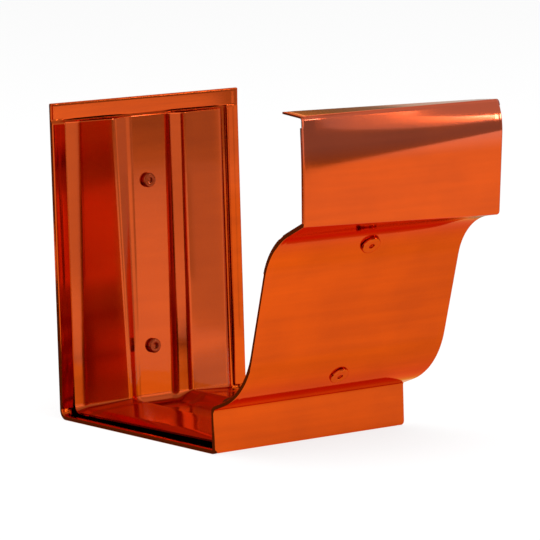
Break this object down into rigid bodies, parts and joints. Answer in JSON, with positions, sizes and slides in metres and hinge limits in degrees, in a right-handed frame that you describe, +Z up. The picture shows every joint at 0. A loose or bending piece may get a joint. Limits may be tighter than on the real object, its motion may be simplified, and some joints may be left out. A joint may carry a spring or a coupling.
{
  "type": "gutter slip joint",
  "caption": "Short folded copper channel with an ogee front, hemmed ends and a riveted inner strip; gutter ends slide into its end pockets and move with heat.",
  "frame": {"origin": "bottom centre of the whole part's box, on the surface that the floor rests on", "axes": "+Z up, +Y towards the upright back wall, -Y towards the ogee front, X along the gutter run, with the crisp end of the top fold at -X"},
  "size_m": [0.067, 0.1296, 0.0983],
  "materials": {
    "copper_sheet": "bright rolled copper sheet, satin outside and more mirror-like inside",
    "rivet_copper": "duller copper, darkened round the edges"
  },
  "bodies": {
    "root": {"outer_shell": "copper_sheet", "inner_strip": "copper_sheet", "back_rivet_lower": "rivet_copper", "back_rivet_upper": "rivet_copper", "front_rivet_lower": "rivet_copper", "front_rivet_upper": "rivet_copper"}
  },
  "joints": []
}
